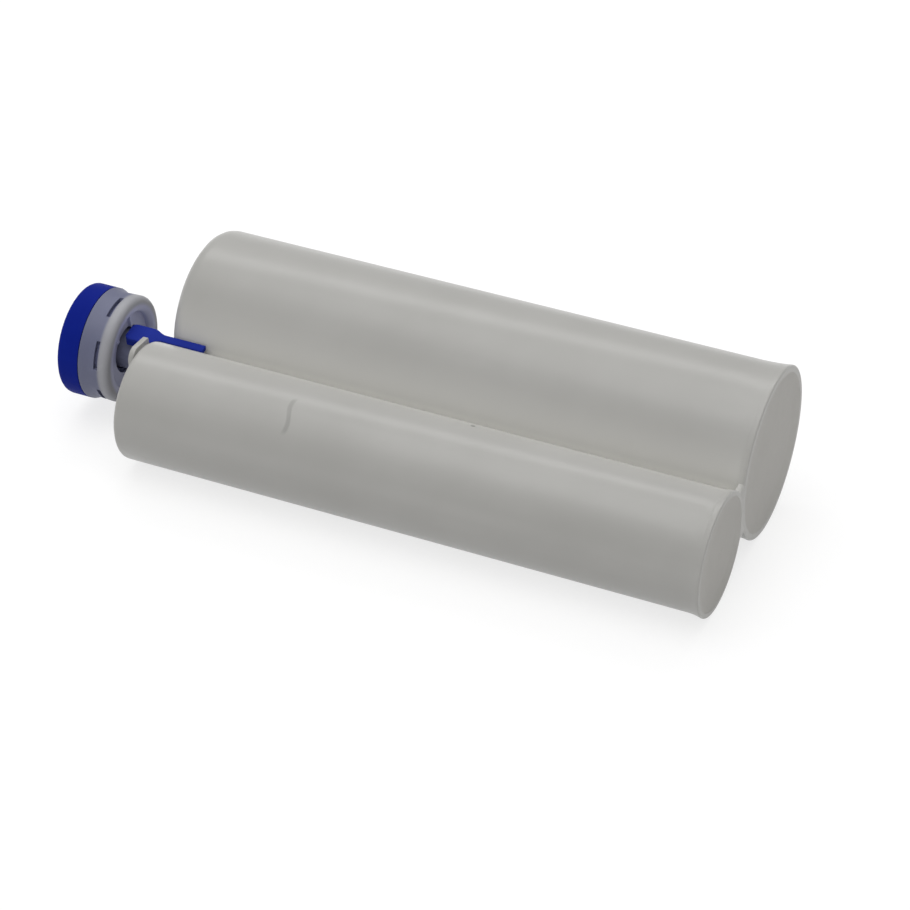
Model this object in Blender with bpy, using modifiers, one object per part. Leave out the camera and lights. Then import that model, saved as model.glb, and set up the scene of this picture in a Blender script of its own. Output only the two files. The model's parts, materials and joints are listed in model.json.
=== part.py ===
"""Two-barrel paste cartridge with a 2:1 pair of barrels and a screw closure.

The pieces are modelled on a standing cartridge: local Z runs along the barrels from the open
rear end to the outlet, local Y from the small barrel to the large one, and local X up out of the
valley between them. One empty then lays the cartridge down on both of its barrels. All sizes are
in metres.
"""
import math

import bpy
import bmesh
from mathutils import Matrix

# Fits
FIT = 0.0003                    # air left between pieces that seat on each other
BARREL_GAP = 0.0004             # air between the barrels where they come closest
PISTON_CLEARANCE = 0.0003       # air between a piston and its bore
THREAD_ROOM = 0.0008            # radial room for the thread between neck and nut
PLUG_CLEARANCE = 0.0005         # air between the plug's disc and the nut's hub

# Barrels
LARGE_BORE_RADIUS = 0.0270
LARGE_WALL = 0.0016
LARGE_SHOULDER_RADIUS = 0.0054  # outer rounding of the large barrel's closed front end
SMALL_BORE_RADIUS = 0.0191
SMALL_WALL = 0.0011
SMALL_SHOULDER_RADIUS = 0.0017  # the same on the small barrel
BARREL_LENGTH = 0.2058
FRONT_WALL = 0.0030
BORE_CORNER_RADIUS = 0.0012     # inner rounding of the closed front end

# Rear flange, a tapered band round both barrels with a web between its rims
FLANGE_LENGTH = 0.0040
FLANGE_REAR_WALL = 0.0006
FLANGE_FRONT_WALL = 0.0004
FLANGE_WAIST = 0.0105           # half height of the web
FLANGE_RELIEF = 0.0045          # half height of the opening where the barrels come closest

# Outlet neck
NECK_OFFSET = 0.0008            # outlet axis, from the barrels' contact line to the large side
NECK_RADIUS = 0.0066
NECK_LENGTH = 0.0271
NECK_END_RADIUS = 0.0006        # rounding at the free end of the neck
PASSAGE_WALL = 0.0014
PORT_INSET = 0.0003             # from a bore's edge to its port

# Buttress from the neck across the small barrel's front, and the plate that stands on it
BUTTRESS_DEPTH = 0.0034
BUTTRESS_HALF_HEIGHT = 0.0110
BUTTRESS_REACH = 0.0155         # from the outlet axis to the far end
PLATE_THICKNESS = 0.0020
PLATE_NEAR_HALF_HEIGHT = 0.0137
PLATE_FAR_HALF_HEIGHT = 0.0155
PLATE_REACH = 0.0174            # from the outlet axis to the far end
PLATE_CORNER_RADIUS = 0.0040
PLATE_ROUND = 0.0006
PLATE_CLEARANCE = 0.0004        # from the plate to the lock slider

# Lock slider: a flat head on a rail, with a tail in the valley between the barrels
SLIDER_WIDTH = 0.0076
SLIDER_SHIFT = 0.0005           # from the tail's middle to the head's, on the small side
SLIDER_HEIGHT = 0.0035
SLIDER_SET_FORWARD = 0.0054     # from the barrels' front to the full width of the head
SLIDER_TAPER = 0.0050           # length over which the head narrows to the tail
SLIDER_TRAVEL = 0.0022
SLIDER_ROUND = 0.0005
NOSE_CORNER_RADIUS = 0.0018
NOSE_GAP = 0.0005               # from the slider's nose to the collar when unlocked
TAIL_WIDTH = 0.0031
TAIL_REACH = 0.0146             # how far the tail runs back between the barrels
TAIL_CLEARANCE = 0.0003
GUIDE_INSET = 0.0005            # the guide under the head is this much smaller all round
SLOT_BACK_WALL = 0.0008
RAIL_STEM_WIDTH = 0.0018
RAIL_CAP_WIDTH = 0.0036
RAIL_CAP_HEIGHT = 0.0008
RAIL_LIP = 0.0009               # slider material under the rail's cap
RAIL_ROOT_DEPTH = 0.0016        # how deep the rail's stem is rooted in the neck

# Closure as a whole
CLOSURE_RADIUS = 0.0194         # outer radius of the grip and of the collar's lip
CLOSURE_SET_BACK = 0.0131       # from the neck's free end to the collar's rear rim

# Collar ring round the rear of the closure
COLLAR_LENGTH = 0.0108
COLLAR_WALL = 0.0021            # at the lip
COLLAR_LIP = 0.0006             # length of the lip next to the grip
COLLAR_SLOPE = 0.0020           # length of the slope behind the lip
COLLAR_DROP = 0.0010            # how much the ring loses in radius on the slope
COLLAR_FLARE = 0.0003           # how much of it the ring gains again towards the rear rim
COLLAR_ROUND = 0.0020           # outer rounding of the rear rim
MOUTH_RADIUS = 0.0133
MOUTH_ROUND = 0.0017            # inner rounding of the rear rim
MOUTH_DEPTH = 0.0022            # from the rear rim to the web
COLLAR_WEB = 0.0010
COLLAR_HOLE_CLEARANCE = 0.0019  # from the neck to the hole in the web
SLOT_PLACE = 0.0046             # from the rear rim to the slots' middle
SLOT_WIDTH = 0.0015
SLOT_BRIDGE_WIDTH = 0.0090
SLOT_BARS = 3                   # crossing bars, each leaving two bridges
TOOTH_WIDTH = 0.0016
TOOTH_LENGTH = 0.0011           # how far a lock tooth stands from the web
TOOTH_RISE = 0.0011             # from the slider's underside to the tooth's inner end
TOOTH_CLEARANCE = 0.0004        # from the locked slider to a tooth

# Closure nut
GRIP_LENGTH = 0.0082
GRIP_ROUND = 0.0018
SLEEVE_LENGTH = 0.0076
SLEEVE_WALL = 0.0020
HUB_WALL = 0.0022
NUT_WEB = 0.0014
DISH_RADIUS = 0.0120
DISH_DEPTH = 0.0009

# Outlet plug and its gasket
GASKET_THICKNESS = 0.0010
GASKET_INSET = 0.0002           # from the neck's edge to the gasket's
PLUG_DISC_THICKNESS = 0.0020
PRONG_LENGTH = 0.0062           # reach into the neck's passages
STUD_RADIUS = 0.0030
STUD_HEAD_OVERHANG = 0.0012

# Pistons
PISTON_LENGTH = 0.0160
PISTON_RECESS = 0.0003          # rear face, in from the rear end of the barrels
PISTON_CHAMFER = 0.0004
SEAL_SECTION_RADIUS = 0.0014
SEAL_SET_BACK = 0.0042          # from a piston's front face to its seal
WAIST_DEPTH = 0.0007
WAIST_LENGTH = 0.0040
WAIST_PLACE = 0.0055            # from a piston's rear face to the middle of its waist
VENT_RADIUS = 0.0012
VENT_HEAD_OVERHANG = 0.0014
VENT_HEAD_HEIGHT = 0.0014

# Facets and working values
BARREL_STEPS = 64
ROUND_STEPS = 44
FINE_STEPS = 20
ARC_STEPS = 4
ROUND_SEGMENTS = 2
HALVINGS = 60                   # steps of the search for the tail's floor
SHARP_ANGLE = math.radians(32)  # edges turned by more than this stay crisp
ROUND_ANGLE = math.radians(60)  # edges turned by more than this are rounded
WELD = 0.000001
OVERRUN = 0.0040                # how far a cutter runs past what it cuts
BITE = 0.0006                   # how far joined shapes reach into each other

# Worked-out places
LARGE_RADIUS = LARGE_BORE_RADIUS + LARGE_WALL
SMALL_RADIUS = SMALL_BORE_RADIUS + SMALL_WALL
SPACING = LARGE_RADIUS + SMALL_RADIUS + BARREL_GAP
LARGE_Y = SPACING / 2
SMALL_Y = -SPACING / 2
NECK_Y = SMALL_Y + SMALL_RADIUS + BARREL_GAP / 2 + NECK_OFFSET
RIM = FIT + FLANGE_REAR_WALL
REST_TILT = math.asin((LARGE_RADIUS - SMALL_RADIUS) / SPACING)

NECK_REAR = BARREL_LENGTH + FIT
NECK_FRONT = BARREL_LENGTH + NECK_LENGTH
PASSAGE_RADIUS = NECK_RADIUS - PASSAGE_WALL
SMALL_PORT_Y = SMALL_Y + SMALL_BORE_RADIUS - PORT_INSET
LARGE_PORT_Y = LARGE_Y - LARGE_BORE_RADIUS + PORT_INSET

COLLAR_REAR = NECK_FRONT - CLOSURE_SET_BACK
COLLAR_FRONT = COLLAR_REAR + COLLAR_LENGTH
COLLAR_WEB_REAR = COLLAR_REAR + MOUTH_DEPTH
GRIP_REAR = COLLAR_FRONT + FIT
GRIP_FRONT = GRIP_REAR + GRIP_LENGTH
SLEEVE_RADIUS = CLOSURE_RADIUS - COLLAR_WALL - FIT
SLEEVE_REAR = GRIP_REAR - SLEEVE_LENGTH
HUB_BORE_RADIUS = NECK_RADIUS + THREAD_ROOM

GASKET_REAR = NECK_FRONT + FIT
DISC_REAR = GASKET_REAR + GASKET_THICKNESS + FIT
DISC_FRONT = DISC_REAR + PLUG_DISC_THICKNESS
WEB_REAR = DISC_FRONT + FIT
DISH_FLOOR = GRIP_FRONT - DISH_DEPTH

SLIDER_REAR = BARREL_LENGTH + SLIDER_SET_FORWARD
SLIDER_NOSE = COLLAR_REAR - NOSE_GAP
SLIDER_FLOOR = NECK_RADIUS + FIT
SLIDER_TOP = SLIDER_FLOOR + SLIDER_HEIGHT
SLOT_BACK = SLIDER_REAR + GUIDE_INSET + SLOT_BACK_WALL

PARTS = "dual_cartridge"
CUTTERS = "cutters"


# Scene and helpers

def clear_scene():
    """Empty the scene and make the two collections."""
    for item in list(bpy.data.objects):
        bpy.data.objects.remove(item, do_unlink=True)
    for name in (PARTS, CUTTERS):
        collection = bpy.data.collections.get(name) or bpy.data.collections.new(name)
        if name not in bpy.context.scene.collection.children:
            bpy.context.scene.collection.children.link(collection)


def material(name, colour, roughness):
    """A plastic with one colour."""
    made = bpy.data.materials.new(name)
    made.use_nodes = True
    shader = made.node_tree.nodes["Principled BSDF"]
    shader.inputs["Base Color"].default_value = (*colour, 1.0)
    shader.inputs["Roughness"].default_value = roughness
    shader.inputs["Metallic"].default_value = 0.0
    return made


def mesh_object(name, mesh, place=(0.0, 0.0, 0.0), collection=CUTTERS):
    """Put a mesh into a collection as an object; cutters are drawn as wires."""
    made = bpy.data.objects.new(name, mesh)
    made.location = place
    bpy.data.collections[collection].objects.link(made)
    if collection == CUTTERS:
        made.hide_render = True
        made.display_type = "WIRE"
    return made


def arc(centre, radius, start, end, steps=ARC_STEPS):
    """Points on an arc, with its angles in degrees."""
    turns = [math.radians(start + (end - start) * i / steps) for i in range(steps + 1)]
    return [(centre[0] + radius * math.cos(a), centre[1] + radius * math.sin(a)) for a in turns]


def evaluated_mesh(item):
    """The mesh of an object once its modifiers have run, with its doubled points welded."""
    bpy.context.view_layer.update()
    depsgraph = bpy.context.evaluated_depsgraph_get()
    mesh = bpy.data.meshes.new_from_object(item.evaluated_get(depsgraph))
    shape = bmesh.new()
    shape.from_mesh(mesh)
    bmesh.ops.remove_doubles(shape, verts=shape.verts, dist=WELD)
    bmesh.ops.recalc_face_normals(shape, faces=shape.faces)
    shape.to_mesh(mesh)
    shape.free()
    return mesh


def turned(name, outline, closed, place=(0.0, 0.0, 0.0), steps=ROUND_STEPS):
    """A shape turned about Z: (radius, height) points run down its outer side."""
    mesh = bpy.data.meshes.new(name)
    last = len(outline) if closed else len(outline) - 1
    edges = [(i, (i + 1) % len(outline)) for i in range(last)]
    mesh.from_pydata([(r, 0.0, z) for r, z in outline], edges, [])
    made = mesh_object(name, mesh, place)
    screw = made.modifiers.new("Turn", "SCREW")
    screw.axis = "Z"
    screw.steps = steps
    screw.render_steps = steps
    screw.use_merge_vertices = True
    screw.merge_threshold = WELD
    made.data = evaluated_mesh(made)
    made.modifiers.clear()
    return made


def rod(name, radius, low, high, place=(0.0, 0.0, 0.0), steps=ROUND_STEPS):
    """A plain round bar along Z."""
    return turned(name, [(0.0, high), (radius, high), (radius, low), (0.0, low)], False, place, steps)


def prism(name, outline, low, high, along, place=(0.0, 0.0, 0.0)):
    """A flat outline drawn out along X or Z, from low to high.

    Along Z the outline's points are (x, y), and along X they are (y, z).
    """
    curve = bpy.data.curves.new(name, "CURVE")
    curve.dimensions = "2D"
    curve.fill_mode = "BOTH"
    curve.extrude = (high - low) / 2
    spline = curve.splines.new("POLY")
    spline.points.add(len(outline) - 1)
    for point, (u, v) in zip(spline.points, outline):
        point.co = (u, v, 0.0, 1.0)
    spline.use_cyclic_u = True
    drawn = bpy.data.objects.new(name + "_outline", curve)
    bpy.data.collections[CUTTERS].objects.link(drawn)
    mesh = evaluated_mesh(drawn)
    bpy.data.objects.remove(drawn, do_unlink=True)
    mesh.transform(Matrix.Translation((0.0, 0.0, (low + high) / 2)))
    if along == "X":
        mesh.transform(Matrix(((0, 0, 1, 0), (1, 0, 0, 0), (0, 1, 0, 0), (0, 0, 0, 1))))
    return mesh_object(name, mesh, place)


def block(name, low, high, place=(0.0, 0.0, 0.0)):
    """A box between two corners."""
    mesh = bpy.data.meshes.new(name)
    shape = bmesh.new()
    bmesh.ops.create_cube(shape, size=1.0)
    for corner in shape.verts:
        corner.co = [lo + (hi - lo) * (c + 0.5) for lo, hi, c in zip(low, high, corner.co)]
    shape.to_mesh(mesh)
    shape.free()
    return mesh_object(name, mesh, place)


def lofted(name, loops):
    """A closed band whose skin runs through loops of equal count, and from the last to the first."""
    shape = bmesh.new()
    rings = [[shape.verts.new(point) for point in loop] for loop in loops]
    for i in range(len(rings)):
        one = rings[i - 1]
        other = rings[i]
        for j in range(len(other)):
            shape.faces.new((one[j - 1], one[j], other[j], other[j - 1]))
    mesh = bpy.data.meshes.new(name)
    shape.to_mesh(mesh)
    shape.free()
    return mesh_object(name, mesh)


def rounded(item, width):
    """Round the crisp edges of a shape."""
    soften = item.modifiers.new("Round", "BEVEL")
    soften.width = width
    soften.segments = ROUND_SEGMENTS
    soften.limit_method = "ANGLE"
    soften.angle_limit = ROUND_ANGLE


def combine(item, other, operation):
    """Join another shape to this one, or cut it out."""
    change = item.modifiers.new(operation.title(), "BOOLEAN")
    change.operation = operation
    change.solver = "EXACT"
    change.object = other


def finished(item, name, look, frame):
    """Turn a worked shape into a named part that is carried by the frame."""
    item.data = evaluated_mesh(item)
    item.modifiers.clear()
    item.name = name
    item.data.name = name
    item.data.materials.clear()
    item.data.materials.append(look)
    item.data.shade_smooth()
    item.data.set_sharp_from_angle(angle=SHARP_ANGLE)
    bpy.data.collections[CUTTERS].objects.unlink(item)
    bpy.data.collections[PARTS].objects.link(item)
    item.hide_render = False
    item.display_type = "TEXTURED"
    item.parent = frame
    return item


# Places that follow from the two barrels

def valley(height):
    """The two sides of the air between the barrels, at a height above their axes."""
    small_side = SMALL_Y + math.sqrt(SMALL_RADIUS ** 2 - height ** 2)
    large_side = LARGE_Y - math.sqrt(LARGE_RADIUS ** 2 - height ** 2)
    return small_side, large_side


def valley_floor(width):
    """The height at which the valley is just as wide as asked."""
    low = 0.0
    high = SMALL_RADIUS
    for _ in range(HALVINGS):
        middle = (low + high) / 2
        small_side, large_side = valley(middle)
        if large_side - small_side < width:
            low = middle
        else:
            high = middle
    return high


TAIL_FLOOR = valley_floor(TAIL_WIDTH + 2 * TAIL_CLEARANCE)
TAIL_Y = sum(valley(TAIL_FLOOR)) / 2
SLIDER_Y = TAIL_Y - SLIDER_SHIFT


def lying_frame():
    """The empty that lays the cartridge on its barrels, centred over the origin."""
    frame = bpy.data.objects.new("cartridge_frame", None)
    bpy.data.collections[PARTS].objects.link(frame)
    height = (LARGE_RADIUS + SMALL_RADIUS) / 2 + RIM
    aside = (SMALL_RADIUS - LARGE_RADIUS) / 2
    move = Matrix.Translation((GRIP_FRONT / 2, aside, height))
    tilt = Matrix.Rotation(REST_TILT, 4, "X")
    lay = Matrix.Rotation(-math.pi / 2, 4, "Y")
    frame.matrix_world = move @ tilt @ lay
    return frame


# Barrels, flange and neck

def passages(name, radius, inset, low, high):
    """Two half-moon bars either side of the wall between the ports."""
    bars = rod(name, radius, low, high, (0.0, NECK_Y, 0.0), FINE_STEPS * 2)
    wall = block(
        name + "_wall",
        (-radius - OVERRUN, SMALL_PORT_Y - inset, low - OVERRUN),
        (radius + OVERRUN, LARGE_PORT_Y + inset, high + OVERRUN),
    )
    combine(bars, wall, "DIFFERENCE")
    return bars


def barrel(name, bore, wall, rounding, y, ports, look, frame):
    """A straight tube, open at the rear and closed by a rounded front end with its port."""
    outer = bore + wall
    front = BARREL_LENGTH
    inner_front = front - FRONT_WALL
    shoulder = arc((outer - rounding, front - rounding), rounding, 90, 0)
    corner = arc((bore - BORE_CORNER_RADIUS, inner_front - BORE_CORNER_RADIUS), BORE_CORNER_RADIUS, 0, 90)
    outline = [(0.0, front)] + shoulder
    outline += [(outer, 0.0), (bore, 0.0)] + corner + [(0.0, inner_front)]
    tube = turned(name, outline, False, (0.0, y, 0.0), BARREL_STEPS)
    combine(tube, ports, "DIFFERENCE")
    return finished(tube, name, look, frame)


def rim_loop(spread, waist, height):
    """A loop round both barrels, grown off them by the spread and drawn in to the waist between them."""
    points = []
    for radius, y, facing in ((LARGE_RADIUS, LARGE_Y, 270), (SMALL_RADIUS, SMALL_Y, 90)):
        grown = radius + spread
        reach = math.degrees(math.asin(waist / grown))
        points += arc((0.0, y), grown, facing - 360 + reach, facing - reach, BARREL_STEPS)
    return [(x, y, height) for x, y in points]


def rear_flange(look, frame):
    """A tapered band that ties the open ends of the barrels together, lofted through four loops."""
    loops = [
        rim_loop(FIT + FLANGE_REAR_WALL, FLANGE_WAIST, 0.0),
        rim_loop(FIT + FLANGE_FRONT_WALL, FLANGE_WAIST, FLANGE_LENGTH),
        rim_loop(FIT, FLANGE_RELIEF, FLANGE_LENGTH),
        rim_loop(FIT, FLANGE_RELIEF, 0.0),
    ]
    return finished(lofted("flange_band", loops), "rear_flange", look, frame)


def rail_outline(spread):
    """T section of the slider's rail, grown all round by the spread."""
    stem = RAIL_STEM_WIDTH / 2 + spread
    cap = RAIL_CAP_WIDTH / 2 + spread
    cap_low = SLIDER_FLOOR + RAIL_LIP + FIT - spread
    cap_high = SLIDER_FLOOR + RAIL_LIP + FIT + RAIL_CAP_HEIGHT + spread
    root = NECK_RADIUS - RAIL_ROOT_DEPTH
    return [
        (root, -stem), (cap_low, -stem), (cap_low, -cap), (cap_high, -cap),
        (cap_high, cap), (cap_low, cap), (cap_low, stem), (root, stem),
    ]


def outlet_neck(ports, look, frame):
    """The round neck with two passages, its buttress and plate on the small side, and the rail."""
    tip = arc((NECK_RADIUS - NECK_END_RADIUS, NECK_FRONT - NECK_END_RADIUS), NECK_END_RADIUS, 90, 0)
    outline = [(0.0, NECK_FRONT)] + tip + [(NECK_RADIUS, NECK_REAR), (0.0, NECK_REAR)]
    neck = turned("neck_body", outline, False, (0.0, NECK_Y, 0.0))

    near_y = SLIDER_Y - SLIDER_WIDTH / 2 - PLATE_CLEARANCE
    plate_rear = BARREL_LENGTH + BUTTRESS_DEPTH
    plate_front = plate_rear + PLATE_THICKNESS
    half = BUTTRESS_HALF_HEIGHT
    far_y = NECK_Y - BUTTRESS_REACH
    outline = [(-half, near_y), (-half, far_y), (half, far_y), (half, near_y)]
    buttress = prism("neck_buttress", outline, NECK_REAR, plate_rear + BITE, "Z")

    corner_x = PLATE_FAR_HALF_HEIGHT - PLATE_CORNER_RADIUS
    corner_y = NECK_Y - PLATE_REACH + PLATE_CORNER_RADIUS
    outline = [(-PLATE_NEAR_HALF_HEIGHT, near_y)]
    outline += arc((-corner_x, corner_y), PLATE_CORNER_RADIUS, 180, 270)
    outline += arc((corner_x, corner_y), PLATE_CORNER_RADIUS, 270, 360)
    outline += [(PLATE_NEAR_HALF_HEIGHT, near_y)]
    plate = prism("neck_plate", outline, plate_rear, plate_front, "Z")
    rounded(plate, PLATE_ROUND)

    rail_rear = SLOT_BACK + SLIDER_TRAVEL + FIT
    rail = prism("neck_rail", rail_outline(0.0), rail_rear, SLIDER_NOSE - FIT, "Z", (0.0, SLIDER_Y, 0.0))
    combine(neck, buttress, "UNION")
    combine(neck, plate, "UNION")
    combine(neck, rail, "UNION")
    combine(neck, ports, "DIFFERENCE")
    return finished(neck, "outlet_neck", look, frame)


# Closure

def collar_ring(look, frame):
    """The natural band behind the grip: slotted all round, with a dished rear that locks."""
    inner = CLOSURE_RADIUS - COLLAR_WALL
    waist_radius = CLOSURE_RADIUS - COLLAR_DROP
    rear_radius = waist_radius + COLLAR_FLARE
    lip_rear = COLLAR_FRONT - COLLAR_LIP
    hole = NECK_RADIUS + COLLAR_HOLE_CLEARANCE
    web_front = COLLAR_WEB_REAR + COLLAR_WEB
    rim = (rear_radius - COLLAR_ROUND, COLLAR_REAR + COLLAR_ROUND)
    mouth = (MOUTH_RADIUS + MOUTH_ROUND, COLLAR_REAR + MOUTH_ROUND)
    outline = [(CLOSURE_RADIUS, COLLAR_FRONT), (CLOSURE_RADIUS, lip_rear)]
    outline += [(waist_radius, lip_rear - COLLAR_SLOPE)]
    outline += arc(rim, COLLAR_ROUND, 0, -90)
    outline += arc(mouth, MOUTH_ROUND, 270, 180)
    outline += [(MOUTH_RADIUS, COLLAR_WEB_REAR), (hole, COLLAR_WEB_REAR), (hole, web_front)]
    outline += [(inner, web_front), (inner, COLLAR_FRONT)]
    ring = turned("collar_body", outline, True, (0.0, NECK_Y, 0.0))

    slot_low = COLLAR_REAR + SLOT_PLACE - SLOT_WIDTH / 2
    slot_high = slot_low + SLOT_WIDTH
    outer = CLOSURE_RADIUS + OVERRUN
    slot_floor = inner - BITE
    outline = [(slot_floor, slot_high), (outer, slot_high), (outer, slot_low), (slot_floor, slot_low)]
    slots = turned("collar_slots", outline, True, (0.0, NECK_Y, 0.0))
    for i in range(SLOT_BARS):
        bar = block(
            "collar_bridge_%d" % i,
            (-outer - OVERRUN, -SLOT_BRIDGE_WIDTH / 2, slot_low - OVERRUN),
            (outer + OVERRUN, SLOT_BRIDGE_WIDTH / 2, slot_high + OVERRUN),
            (0.0, NECK_Y, 0.0),
        )
        bar.rotation_euler.z = math.pi * (i + 0.5) / SLOT_BARS
        combine(slots, bar, "DIFFERENCE")

    beside = SLIDER_WIDTH / 2 + TOOTH_CLEARANCE
    for name, low, high in (
        ("lock_tooth_large_side", beside, beside + TOOTH_WIDTH),
        ("lock_tooth_small_side", -beside - TOOTH_WIDTH, -beside),
    ):
        tooth = block(
            name,
            (SLIDER_FLOOR + TOOTH_RISE, low, COLLAR_WEB_REAR - TOOTH_LENGTH),
            (MOUTH_RADIUS + BITE, high, COLLAR_WEB_REAR + BITE),
            (0.0, SLIDER_Y, 0.0),
        )
        combine(ring, tooth, "UNION")
    combine(ring, slots, "DIFFERENCE")
    return finished(ring, "collar_ring", look, frame)


def closure_nut(look, frame):
    """The blue nut: a grip, a sleeve inside the collar and a hub round the neck."""
    hub = HUB_BORE_RADIUS + HUB_WALL
    sleeve_bore = SLEEVE_RADIUS - SLEEVE_WALL
    core_top = DISH_FLOOR - NUT_WEB
    stud_hole = STUD_RADIUS + FIT
    shoulder = (CLOSURE_RADIUS - GRIP_ROUND, GRIP_FRONT - GRIP_ROUND)
    outline = [(stud_hole, DISH_FLOOR), (DISH_RADIUS - DISH_DEPTH, DISH_FLOOR), (DISH_RADIUS, GRIP_FRONT)]
    outline += arc(shoulder, GRIP_ROUND, 90, 0)
    outline += [(CLOSURE_RADIUS, GRIP_REAR), (SLEEVE_RADIUS, GRIP_REAR), (SLEEVE_RADIUS, SLEEVE_REAR)]
    outline += [(sleeve_bore, SLEEVE_REAR), (sleeve_bore, core_top), (hub, core_top), (hub, SLEEVE_REAR)]
    outline += [(HUB_BORE_RADIUS, SLEEVE_REAR), (HUB_BORE_RADIUS, WEB_REAR), (stud_hole, WEB_REAR)]
    nut = turned("nut_body", outline, True, (0.0, NECK_Y, 0.0))
    return finished(nut, "closure_nut", look, frame)


def outlet_plug(look, frame):
    """A disc with two half-moon prongs, and a stud that snaps through the nut's web."""
    head = STUD_RADIUS + STUD_HEAD_OVERHANG
    head_low = DISH_FLOOR + FIT
    disc = HUB_BORE_RADIUS - PLUG_CLEARANCE
    outline = [(0.0, GRIP_FRONT), (head, GRIP_FRONT), (head, head_low), (STUD_RADIUS, head_low)]
    outline += [(STUD_RADIUS, DISC_FRONT), (disc, DISC_FRONT), (disc, DISC_REAR)]
    outline += [(0.0, DISC_REAR)]
    plug = turned("plug_body", outline, False, (0.0, NECK_Y, 0.0))
    prongs = passages("plug_prongs", PASSAGE_RADIUS - FIT, FIT, NECK_FRONT - PRONG_LENGTH, DISC_REAR + BITE)
    combine(plug, prongs, "UNION")
    return finished(plug, "outlet_plug", look, frame)


def plug_gasket(ports, look, frame):
    """The flat washer between the neck's end and the plug."""
    radius = NECK_RADIUS - GASKET_INSET
    washer = rod("gasket_body", radius, GASKET_REAR, GASKET_REAR + GASKET_THICKNESS, (0.0, NECK_Y, 0.0))
    combine(washer, ports, "DIFFERENCE")
    return finished(washer, "plug_gasket", look, frame)


def taper(start, end):
    """Points of a smooth step between two (y, z) points."""
    steps = ARC_STEPS * 2
    points = []
    for i in range(steps + 1):
        share = i / steps
        across = (1 - math.cos(math.pi * share)) / 2
        points.append((start[0] + (end[0] - start[0]) * across, start[1] + (end[1] - start[1]) * share))
    return points


def lock_slider(look, frame):
    """A flat head with a T-slotted guide on the neck's rail, and a tail that lies between the barrels."""
    tail_rear = BARREL_LENGTH - TAIL_REACH
    taper_rear = SLIDER_REAR - SLIDER_TAPER
    tail_low = TAIL_Y - TAIL_WIDTH / 2
    tail_high = TAIL_Y + TAIL_WIDTH / 2
    low = SLIDER_Y - SLIDER_WIDTH / 2
    high = SLIDER_Y + SLIDER_WIDTH / 2
    corner = NOSE_CORNER_RADIUS
    outline = [(tail_low, tail_rear)] + taper((tail_low, taper_rear), (low, SLIDER_REAR))
    outline += arc((low + corner, SLIDER_NOSE - corner), corner, 180, 90)
    outline += arc((high - corner, SLIDER_NOSE - corner), corner, 90, 0)
    outline += taper((high, SLIDER_REAR), (tail_high, taper_rear)) + [(tail_high, tail_rear)]
    slider = prism("slider_plate", outline, TAIL_FLOOR, SLIDER_TOP, "X")
    rounded(slider, SLIDER_ROUND)

    guide = block(
        "slider_guide",
        (SLIDER_FLOOR, low + GUIDE_INSET, SLIDER_REAR + GUIDE_INSET),
        (TAIL_FLOOR + BITE, high - GUIDE_INSET, SLIDER_NOSE - GUIDE_INSET),
    )
    slot = prism(
        "slider_slot", rail_outline(FIT), SLOT_BACK, SLIDER_NOSE + OVERRUN, "Z", (0.0, SLIDER_Y, 0.0)
    )
    combine(slider, guide, "UNION")
    combine(slider, slot, "DIFFERENCE")
    return finished(slider, "lock_slider", look, frame)


# Pistons

def piston(name, bore, y, look, seal_look, frame):
    """A piston with its seal ring and vent pin, flat on the side that is pushed."""
    radius = bore - PISTON_CLEARANCE
    rear = PISTON_RECESS
    front = rear + PISTON_LENGTH
    seal_middle = front - SEAL_SET_BACK
    seal_ring = bore - FIT - SEAL_SECTION_RADIUS
    groove_half = SEAL_SECTION_RADIUS + FIT
    groove_floor = seal_ring - groove_half
    waist = rear + WAIST_PLACE
    waist_half = WAIST_LENGTH / 2
    waist_radius = radius - WAIST_DEPTH
    vent_head = VENT_RADIUS + VENT_HEAD_OVERHANG
    counterbore = front - VENT_HEAD_HEIGHT

    outline = [(vent_head + FIT, front), (radius - PISTON_CHAMFER, front), (radius, front - PISTON_CHAMFER)]
    outline += [(radius, seal_middle + groove_half), (groove_floor, seal_middle + groove_half)]
    outline += [(groove_floor, seal_middle - groove_half), (radius, seal_middle - groove_half)]
    outline += [(radius, waist + waist_half), (waist_radius, waist + waist_half - WAIST_DEPTH)]
    outline += [(waist_radius, waist - waist_half + WAIST_DEPTH), (radius, waist - waist_half)]
    outline += [(radius, rear + PISTON_CHAMFER), (radius - PISTON_CHAMFER, rear)]
    outline += [(VENT_RADIUS + FIT, rear), (VENT_RADIUS + FIT, counterbore), (vent_head + FIT, counterbore)]
    body = turned(name + "_body", outline, True, (0.0, y, 0.0))
    finished(body, name, look, frame)

    section = arc((seal_ring, seal_middle), SEAL_SECTION_RADIUS, 360, 0, ARC_STEPS * 2)[:-1]
    seal = turned(name + "_ring", section, True, (0.0, y, 0.0))
    finished(seal, name + "_seal", seal_look, frame)

    outline = [(0.0, front), (vent_head, front), (vent_head, counterbore + FIT)]
    outline += [(VENT_RADIUS, counterbore + FIT), (VENT_RADIUS, rear), (0.0, rear)]
    pin = turned(name + "_pin", outline, False, (0.0, y, 0.0), FINE_STEPS)
    finished(pin, name + "_vent_pin", look, frame)


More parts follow.
